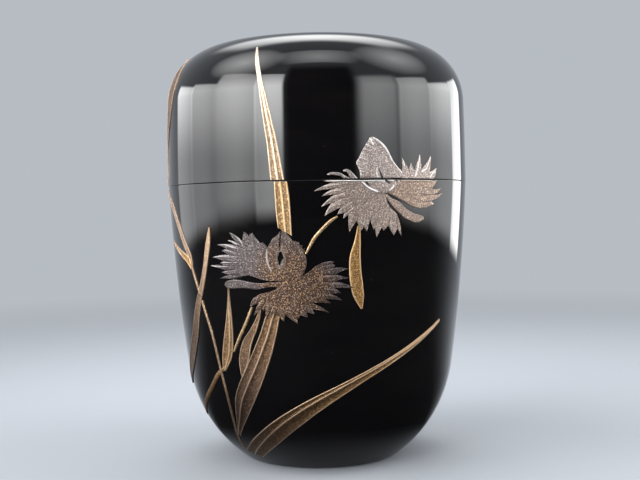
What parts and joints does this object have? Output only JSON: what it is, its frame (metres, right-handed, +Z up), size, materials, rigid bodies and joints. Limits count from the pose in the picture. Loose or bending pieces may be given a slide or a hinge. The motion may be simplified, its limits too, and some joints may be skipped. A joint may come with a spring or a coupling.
{
  "type": "lidded tea caddy",
  "caption": "Tall rounded black lacquer caddy for powdered tea, with a deep lift-off lid and a sprinkled-metal drawing of egret orchids and grass blades running across the joint.",
  "frame": {"origin": "on the axis of the caddy, in the plane the foot ring stands on", "axes": "+Z up along the axis of the turned body and lid, -Y towards the decorated front with the orchids"},
  "size_m": [0.0601, 0.0602, 0.0832],
  "materials": {
    "lacquer": "turned wood under deep black mirror-polished lacquer",
    "bronze_powder": "sprinkled bronze-brown metal powder, lightly raised and granular",
    "gold_line": "fine raised line of sprinkled gold powder",
    "silver_powder": "sprinkled grey silver powder with warm grains, lightly raised and granular"
  },
  "bodies": {
    "body": {"body_vessel": "lacquer", "tall_blade": "bronze_powder", "sweeping_blade": "bronze_powder", "short_blade": "bronze_powder", "hanging_leaf": "bronze_powder", "slender_bud": "bronze_powder", "spindle_leaf": "bronze_powder", "narrow_leaf": "bronze_powder", "far_leaf": "bronze_powder", "offshoot_leaf": "bronze_powder", "flower_stem": "gold_line", "bud_stem": "gold_line", "long_stem": "gold_line", "branch_stem": "gold_line", "side_leaf": "bronze_powder", "lower_orchid_hood": "silver_powder", "lower_orchid_left_wing": "silver_powder", "lower_orchid_finger": "silver_powder", "lower_orchid_skirt": "silver_powder", "lower_orchid_right_wing": "silver_powder", "upper_orchid_hood": "silver_powder", "upper_orchid_left_wing": "silver_powder", "upper_orchid_skirt": "silver_powder", "upper_orchid_finger": "silver_powder", "upper_orchid_right_wing": "silver_powder"},
    "lid": {"lid_shell": "lacquer", "lid_tall_blade": "bronze_powder", "lid_edge_leaf": "bronze_powder", "lid_flower_hood": "silver_powder", "lid_flower_wing": "silver_powder", "lid_long_tooth": "silver_powder", "lid_short_tooth": "silver_powder"}
  },
  "joints": [
    {"name": "lid_lift", "type": "slide", "parent": "body", "child": "lid", "axis": [0, 0, 1], "range_m": [0, 0.05]}
  ]
}
